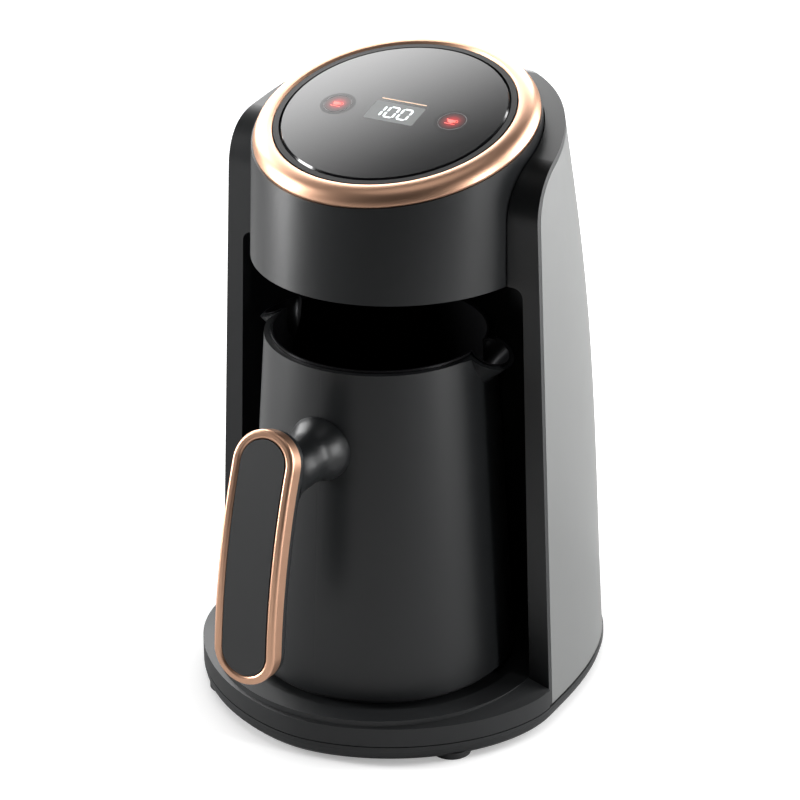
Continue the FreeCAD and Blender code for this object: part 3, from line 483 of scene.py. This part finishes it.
def pick(obj, elements, test):
    """Select the faces or edges of a mesh that pass a test, and stay in edit mode."""
    only(obj)
    bpy.ops.object.mode_set(mode="EDIT")
    bpy.ops.mesh.select_mode(type={"polygons": "FACE", "edges": "EDGE"}[elements])
    bpy.ops.mesh.select_all(action="DESELECT")
    bpy.ops.object.mode_set(mode="OBJECT")
    for item in getattr(obj.data, elements):
        item.select = test(item)
    bpy.ops.object.mode_set(mode="EDIT")


def raise_flat(obj, height):
    """Give a flat outline its small height, faces outward."""
    edit_all(obj, lambda: bpy.ops.mesh.extrude_region_move(
        TRANSFORM_OT_translate={"value": (0, 0, height)}),
        lambda: bpy.ops.mesh.select_all(action="SELECT"),
        lambda: bpy.ops.mesh.normals_make_consistent(inside=False))


def join(pieces, name):
    """Join several objects into one mesh."""
    clear_selection()
    for piece in pieces:
        piece.select_set(True)
    bpy.context.view_layer.objects.active = pieces[0]
    if len(pieces) > 1:
        bpy.ops.object.join()
    pieces[0].name = name
    return pieces[0]


def settle(obj, name, body, material):
    """Apply an object's place, name it, give it its finish and let it ride."""
    only(obj)
    bpy.ops.object.transform_apply(location=True, rotation=True, scale=True)
    obj.name = name
    obj.data.materials.clear()
    obj.data.materials.append(material)
    bpy.ops.object.shade_smooth_by_angle(angle=SMOOTH_ANGLE)
    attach(obj, body)
    return obj


def finish_node(name, material):
    """Give a CAD node a better finish."""
    mesh = NODES[name].data
    mesh.materials.clear()
    mesh.materials.append(material)


# The panel's own frame: across, up the slope, off the glass

def panel_frame():
    """Matrix from flat panel coordinates to the glass surface."""
    turn = Matrix.Rotation(bpy.context.scene.panel_sizes.tilt, 4, "X")
    upright = turn @ Vector((0, 0, 1))
    low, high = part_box("glass_disc")
    middle = (Vector(low) + Vector(high)) / 2
    glass = NODES["glass_disc"]
    face = max((glass.matrix_world @ vertex.co).dot(upright) for vertex in glass.data.vertices)
    return Matrix.Translation(middle + upright * (face - middle.dot(upright))) @ turn


def on_panel(obj, across, up, turn=0.0):
    """Move a flat piece to its place on the glass."""
    place = Matrix.Translation(Vector((across, up, 0))) @ Matrix.Rotation(turn, 4, "Z")
    obj.matrix_world = panel_frame() @ place
    only(obj)
    bpy.ops.object.transform_apply(location=True, rotation=True, scale=True)
    return obj


def flat_ring(outer, width, height):
    """A thin printed ring."""
    bpy.ops.mesh.primitive_circle_add(vertices=64, radius=outer, fill_type="NGON")
    ring = bpy.context.object
    pick(ring, "polygons", lambda face: True)
    bpy.ops.mesh.inset(thickness=width, depth=0)
    bpy.ops.mesh.delete(type="FACE")
    raise_flat(ring, height)
    return ring


def flat_bar(length, width, height, pointed=0.0):
    """A thin bar whose upright corners are bevelled to rounds or points."""
    bpy.ops.mesh.primitive_cube_add(size=1, location=(0, 0, height / 2))
    bar = bpy.context.object
    bar.scale = (length, width, height)
    bpy.ops.object.transform_apply(location=True, rotation=False, scale=True)

    def upright(edge):
        low, high = [bar.data.vertices[index].co.z for index in edge.vertices]
        return abs(low - high) > height / 2

    pick(bar, "edges", upright)
    if pointed:
        bpy.ops.mesh.bevel(offset=pointed, segments=1)
    else:
        bpy.ops.mesh.bevel(offset=width * BAR_ROUND, segments=5)
    bpy.ops.object.mode_set(mode="OBJECT")
    return bar


# Segments are named a to f clockwise from the top, and g is the middle one

SEGMENTS = {
    "0": "abcdef", "1": "bc", "2": "abged", "3": "abgcd", "4": "fgbc",
    "5": "afgcd", "6": "afgedc", "7": "abc", "8": "abcdefg", "9": "abcdfg",
}


def lit_digits(text, height, print_height):
    """Seven-segment digits made of pointed bars."""
    width = height * DIGIT_WIDTH
    stroke = height * DIGIT_STROKE
    half = (height - stroke) / 4
    places = {
        "a": (0, 2 * half, 0), "g": (0, 0, 0), "d": (0, -2 * half, 0),
        "b": (1, half, 90), "c": (1, -half, 90), "e": (-1, -half, 90), "f": (-1, half, 90),
    }
    pieces = []
    pitch = width + stroke * DIGIT_SPACE
    for index, digit in enumerate(text):
        middle = (index - (len(text) - 1) / 2) * pitch
        for segment in SEGMENTS[digit]:
            side, up, turn = places[segment]
            length = (2 * half if turn else width) - stroke * STROKE_GAP
            bar = flat_bar(length, stroke, print_height, pointed=stroke * STROKE_POINT)
            across = middle + side * width / 2 + up * DIGIT_SLANT + DIGITS_ACROSS
            pieces.append(on_panel(bar, across, up + ROW_UP, math.radians(turn)))
    return join(pieces, "display_digits")


def cup_mark(across, up, height, spouted):
    """A small printed cup with its ear and saucer, and a spout where asked."""
    bpy.ops.mesh.primitive_circle_add(vertices=40, radius=BOWL_RADIUS, fill_type="NGON")
    bowl = bpy.context.object
    edit_all(bowl, lambda: bpy.ops.mesh.bisect(
        plane_co=(0, BOWL_TOP, 0), plane_no=(0, 1, 0), use_fill=False, clear_outer=True))
    raise_flat(bowl, height)
    ear = flat_ring(EAR_RADIUS, EAR_WIDTH, height)
    ear.location = (*EAR_PLACE, ear.location.z)
    saucer = flat_bar(SAUCER_LENGTH, SAUCER_WIDTH, height)
    saucer.location = (*SAUCER_PLACE, saucer.location.z)
    pieces = [bowl, ear, saucer]
    if spouted:
        spout = flat_bar(SPOUT_LENGTH, SPOUT_WIDTH, height)
        spout.location = (*SPOUT_PLACE, spout.location.z)
        spout.rotation_euler.z = SPOUT_TURN
        pieces.append(spout)
    for piece in pieces:
        only(piece)
        bpy.ops.object.transform_apply(location=True, rotation=True, scale=True)
    return on_panel(join(pieces, "cup_mark"), across, up)


# Operators, one for each piece or group of like pieces

class COFFEE_OT_housing(bpy.types.Operator):
    """Finish the base, the wings, the side panels and the back."""

    bl_idname = "coffee.housing"
    bl_label = "Finish housing"

    def execute(self, context):
        colours = context.scene.finish_colours
        satin = satin_black(colours)
        matt = matt_black(colours)
        lacquer = surface("satin grey lacquer", colours.side, 0.36, grain=2200.0, bump=0.03,
                          metal=0.35, dust=0.10, lift=1.15)
        rubber = surface("foot rubber", (0.02, 0.02, 0.021), 0.75, grain=1500.0, bump=0.3)
        steel = surface("screw steel", (0.5, 0.5, 0.49), 0.3, metal=1.0, lift=0.8)
        glossy = surface("dark sensor window", (0.01, 0.01, 0.012), 0.1, bump=0.01, Coat_Weight=0.6)
        for name in ("main_housing", "wing_left", "wing_right", "head_shell"):
            finish_node(name, satin)
        for name in ("deck", "base_pan", "back_cover", "bay_lining", "head_floor", "deck_coupler"):
            finish_node(name, matt)
        for name in ("side_panel_left", "side_panel_right"):
            finish_node(name, lacquer)
        for name in ("rubber_foot_1", "rubber_foot_2", "rubber_foot_3", "rubber_foot_4", "cord_bush"):
            finish_node(name, rubber)
        finish_node("case_screws", steel)
        finish_node("sensor_window", glossy)
        board = surface("green circuit board", (0.02, 0.11, 0.05), 0.4, bump=0.2, dust=0.4)
        for name in ("power_board", "control_board", "display_module", "touch_pad_left",
                     "touch_pad_right"):
            finish_node(name, board)
        return {"FINISHED"}


class COFFEE_OT_panel(bpy.types.Operator):
    """Finish the ring and the glass, and model the lit and printed marks."""

    bl_idname = "coffee.panel"
    bl_label = "Build control panel"

    def execute(self, context):
        sizes = context.scene.panel_sizes
        colours = context.scene.finish_colours
        glass = surface("black panel glass", (0.004, 0.004, 0.005), 0.14, grain=300.0, bump=0.004,
                        wander=0.03, dust=0.05, IOR=1.52, Coat_Weight=0.5, Coat_Roughness=0.05)
        trim = surface("matt trim round glass", (0.003, 0.003, 0.003), 0.3, Specular_IOR_Level=0.15)
        finish_node("control_ring", rose_copper(colours))
        finish_node("glass_disc", glass)
        finish_node("glass_carrier", trim)
        height = sizes.print_height

        window = flat_bar(sizes.window_width, sizes.window_height, height / 2,
                          pointed=WINDOW_CHAMFER)
        on_panel(window, WINDOW_ACROSS, ROW_UP)
        settle(window, "display_window", "housing",
               lamp_material("smoked display window", WINDOW_GREY, 0.9))

        digits = lit_digits(sizes.reading, sizes.digit_height, height)
        white = lamp_material("white display light", DIGIT_WHITE, 0.9)
        settle(digits, "display_digits", "housing", white)

        bar = flat_bar(sizes.window_width * BAR_SHARE, BAR_THICKNESS, height)
        on_panel(bar, BAR_ACROSS, BAR_UP)
        warm = lamp_material("warm bar light", BAR_WARM, 0.7)
        settle(bar, "display_bar", "housing", warm)

        mark = surface("printed grey mark", MARK_GREY, 0.35, bump=0.01)
        red = lamp_material("red mark light", MARK_RED, 1.0)
        centres = []
        for side, label, spouted in ((-1, "left", False), (1, "right", True)):
            across = side * sizes.pad_reach + PADS_ACROSS
            pad_up = ROW_UP + (PAD_RISE + side) * MM
            bpy.ops.mesh.primitive_circle_add(vertices=48, radius=sizes.pad_radius * HALO_GROWTH,
                                              fill_type="NGON")
            halo = bpy.context.object
            raise_flat(halo, height * HALO_HEIGHT)
            on_panel(halo, across, pad_up)
            centres.append(panel_frame() @ Vector((across, pad_up, 0)))
            halo.name = "touch_halo_" + label
            outline = flat_ring(sizes.pad_radius, OUTLINE_WIDTH, height)
            on_panel(outline, across, pad_up)
            settle(outline, "touch_outline_" + label, "housing", mark)
            cup = cup_mark(across + CUP_ACROSS, pad_up + CUP_UP, height, spouted)
            settle(cup, "touch_cup_" + label, "housing", red)
        fade = glow_material(colours.glow, centres, sizes.pad_radius * GLOW_REACH)
        for label in ("left", "right"):
            settle(bpy.data.objects["touch_halo_" + label], "touch_halo_" + label, "housing",
                   fade)
        return {"FINISHED"}


class COFFEE_OT_pot(bpy.types.Operator):
    """Finish the pot, its inside and its base."""

    bl_idname = "coffee.pot"
    bl_label = "Finish pot"

    def execute(self, context):
        colours = context.scene.finish_colours
        finish_node("pot_jacket", pot_coating(colours.coating))
        finish_node("pot_liner", surface("dark pot lining", (0.018, 0.018, 0.02), 0.3, bump=0.02,
                                         metal=0.6))
        for name in ("pot_base", "pot_socket"):
            finish_node(name, matt_black(colours))
        cast = surface("cast aluminium", (0.6, 0.6, 0.6), 0.4, metal=1.0, bump=0.2)
        for name in ("heater_plate", "thermal_sensor"):
            finish_node(name, cast)
        return {"FINISHED"}


class COFFEE_OT_handle(bpy.types.Operator):
    """Finish the grip, its copper frame and its post."""

    bl_idname = "coffee.handle"
    bl_label = "Finish handle"

    def execute(self, context):
        colours = context.scene.finish_colours
        finish_node("grip_frame", rose_copper(colours))
        finish_node("grip_insert", surface("soft grip insert", colours.pad, 0.55, grain=1800.0,
                                           bump=0.25, lift=1.3))
        for name in ("grip_shell", "handle_post"):
            finish_node(name, satin_black(colours))
        return {"FINISHED"}


def area_lamp(name, azimuth, elevation, distance, width, height, energy):
    """A soft lamp that faces the object; azimuth is measured from the front to the right."""
    across, up = math.radians(azimuth), math.radians(elevation)
    away = Vector((math.sin(across) * math.cos(up), -math.cos(across) * math.cos(up), math.sin(up)))
    bpy.ops.object.light_add(type="AREA", location=Vector(LAMP_AIM) + away * distance)
    lamp = bpy.context.object
    lamp.name = name
    lamp.data.shape = "RECTANGLE"
    lamp.data.size = width
    lamp.data.size_y = height
    lamp.data.energy = energy
    lamp.rotation_euler = away.to_track_quat("Z", "Y").to_euler()


class COFFEE_OT_stage(bpy.types.Operator):
    """Set the camera, the table, the white surroundings, the lamps and the card."""

    bl_idname = "coffee.stage"
    bl_label = "Set stage"

    def execute(self, context):
        self.set_camera(context)
        self.set_floor()
        self.set_world(context)
        for name, lamp in LAMPS.items():
            area_lamp(name, *lamp)
        self.set_card()
        context.scene.view_settings.view_transform = "Standard"
        return {"FINISHED"}

    def set_camera(self, context):
        """Camera at the photograph's viewing angle."""
        sizes = context.scene.stage_sizes
        side = Vector((math.cos(sizes.azimuth), math.sin(sizes.azimuth), 0))
        level = Vector((math.sin(sizes.azimuth), -math.cos(sizes.azimuth), 0))
        away = level * math.cos(sizes.elevation) + Vector((0, 0, math.sin(sizes.elevation)))
        target = side * sizes.aim_side + Vector((0, 0, sizes.aim_height))
        bpy.ops.object.camera_add(location=target + away * sizes.distance)
        camera = context.object
        look = away.to_track_quat("Z", "Y").to_matrix() @ Matrix.Rotation(sizes.roll, 3, "Z")
        camera.rotation_euler = look.to_euler()
        camera.data.lens = sizes.lens
        camera.data.sensor_width = 36
        camera.data.clip_end = 20
        context.scene.camera = camera

    def set_floor(self):
        """Pale table that shows white to the camera; its soft shadow is partly real lamp shadow and
        partly painted shadow, where ambient occlusion darkens its glow near the object.
        """
        bpy.ops.mesh.primitive_plane_add(size=TABLE_SIZE)
        floor = bpy.context.object
        floor.name = "table"
        material = bpy.data.materials.new("pale table")
        material.use_nodes = True
        tree = material.node_tree
        tree.nodes.clear()
        out = tree.nodes.new("ShaderNodeOutputMaterial")
        matt = tree.nodes.new("ShaderNodeBsdfDiffuse")
        where = tree.nodes.new("ShaderNodeTexCoord")
        mottle = node(tree, "ShaderNodeTexNoise", (-600, 0), Scale=3.0, Detail=2.0)
        tone = tree.nodes.new("ShaderNodeValToRGB")
        for element, grey in zip(tone.color_ramp.elements, TABLE_TONES):
            element.color = (grey, grey, grey, 1)
        bright = tree.nodes.new("ShaderNodeEmission")
        seen = tree.nodes.new("ShaderNodeLightPath")
        most = tree.nodes.new("ShaderNodeMath")
        most.operation = "MAXIMUM"
        level = tree.nodes.new("ShaderNodeMath")
        level.operation = "MULTIPLY"
        # Painted shadow: ambient occlusion dims the table's camera glow near the object
        painted_contact_shadow = tree.nodes.new("ShaderNodeAmbientOcclusion")
        painted_contact_shadow.samples = 16
        painted_contact_shadow.inputs["Distance"].default_value = PAINTED_SHADOW_REACH
        shade = node(tree, "ShaderNodeMapRange", (-300, -300), From_Min=PAINTED_SHADOW_RANGE[0],
                     From_Max=PAINTED_SHADOW_RANGE[1], To_Min=TABLE_GLOW[0], To_Max=TABLE_GLOW[1])
        total = tree.nodes.new("ShaderNodeAddShader")
        link = tree.links.new
        link(where.outputs["Object"], mottle.inputs["Vector"])
        link(mottle.outputs["Fac"], tone.inputs["Fac"])
        link(tone.outputs["Color"], matt.inputs["Color"])
        link(seen.outputs["Is Camera Ray"], most.inputs[0])
        link(seen.outputs["Is Transmission Ray"], most.inputs[1])
        link(painted_contact_shadow.outputs["AO"], shade.inputs["Value"])
        link(shade.outputs[0], level.inputs[1])
        link(most.outputs[0], level.inputs[0])
        link(level.outputs[0], bright.inputs["Strength"])
        link(matt.outputs[0], total.inputs[0])
        link(bright.outputs[0], total.inputs[1])
        link(total.outputs[0], out.inputs["Surface"])
        floor.data.materials.append(material)

    def set_card(self):
        """A graded card whose reflection fades from the rear of the glass to its front."""
        glass = panel_frame().translation
        camera = bpy.context.scene.camera.location
        upright = panel_frame().to_3x3() @ Vector((0, 0, 1))
        view = (camera - glass).normalized()
        away = 2 * upright.dot(view) * upright - view
        bpy.ops.mesh.primitive_plane_add(size=CARD_SIZE, location=glass + away * CARD_DISTANCE)
        card = bpy.context.object
        card.name = "graded card"
        card.rotation_euler = away.to_track_quat("Z", "Y").to_euler()
        material = bpy.data.materials.new("graded card")
        material.use_nodes = True
        tree = material.node_tree
        tree.nodes.clear()
        out = tree.nodes.new("ShaderNodeOutputMaterial")
        bright = tree.nodes.new("ShaderNodeEmission")
        where = tree.nodes.new("ShaderNodeTexCoord")
        parts = tree.nodes.new("ShaderNodeSeparateXYZ")
        grade = node(tree, "ShaderNodeMapRange", (-300, 0), From_Min=CARD_BRIGHT, From_Max=CARD_DARK,
                     To_Min=CARD_LEVEL, To_Max=0.0)
        grade.interpolation_type = "SMOOTHSTEP"
        link = tree.links.new
        link(where.outputs["Object"], parts.inputs[0])
        link(parts.outputs["Y"], grade.inputs["Value"])
        link(grade.outputs[0], bright.inputs["Strength"])
        link(bright.outputs[0], out.inputs["Surface"])
        card.data.materials.append(material)
        card.visible_camera = False
        card.visible_diffuse = False
        card.visible_shadow = False

    def set_world(self, context):
        """White to the camera, dim to everything else."""
        world = bpy.data.worlds.new("studio")
        context.scene.world = world
        world.use_nodes = True
        tree = world.node_tree
        back = tree.nodes["Background"]
        back.inputs["Color"].default_value = (1, 1, 1, 1)
        seen = tree.nodes.new("ShaderNodeLightPath")
        level = node(tree, "ShaderNodeMapRange", (-300, 0), To_Min=ROOM_LEVEL, To_Max=1.0)
        tree.links.new(seen.outputs["Is Camera Ray"], level.inputs["Value"])
        tree.links.new(level.outputs[0], back.inputs["Strength"])


class COFFEE_PT_sidebar(bpy.types.Panel):
    """Sizes, colours and build steps."""

    bl_label = "Coffee maker"
    bl_idname = "COFFEE_PT_sidebar"
    bl_space_type = "VIEW_3D"
    bl_region_type = "UI"
    bl_category = "Coffee maker"

    def draw(self, context):
        layout = self.layout
        for settings in (context.scene.panel_sizes, context.scene.finish_colours,
                         context.scene.stage_sizes):
            box = layout.box()
            for name in settings.__annotations__:
                box.prop(settings, name)
        for step in STEPS:
            layout.operator(step.bl_idname)


SETTINGS = {"panel_sizes": PanelSizes, "finish_colours": FinishColours, "stage_sizes": StageSizes}
STEPS = (COFFEE_OT_stage, COFFEE_OT_housing, COFFEE_OT_panel, COFFEE_OT_pot, COFFEE_OT_handle)
CLASSES = (*SETTINGS.values(), *STEPS, COFFEE_PT_sidebar)


def register():
    """Register the add-on's classes and settings."""
    for item in CLASSES:
        bpy.utils.register_class(item)
    for name, kind in SETTINGS.items():
        setattr(bpy.types.Scene, name, bpy.props.PointerProperty(type=kind))


def unregister():
    """Remove the add-on's settings and classes."""
    for name in SETTINGS:
        delattr(bpy.types.Scene, name)
    for item in reversed(CLASSES):
        bpy.utils.unregister_class(item)


def main():
    """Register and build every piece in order."""
    register()
    clear_selection()
    for step in STEPS:
        family, name = step.bl_idname.split(".")
        getattr(getattr(bpy.ops, family), name)()


if __name__ == "__main__":
    main()
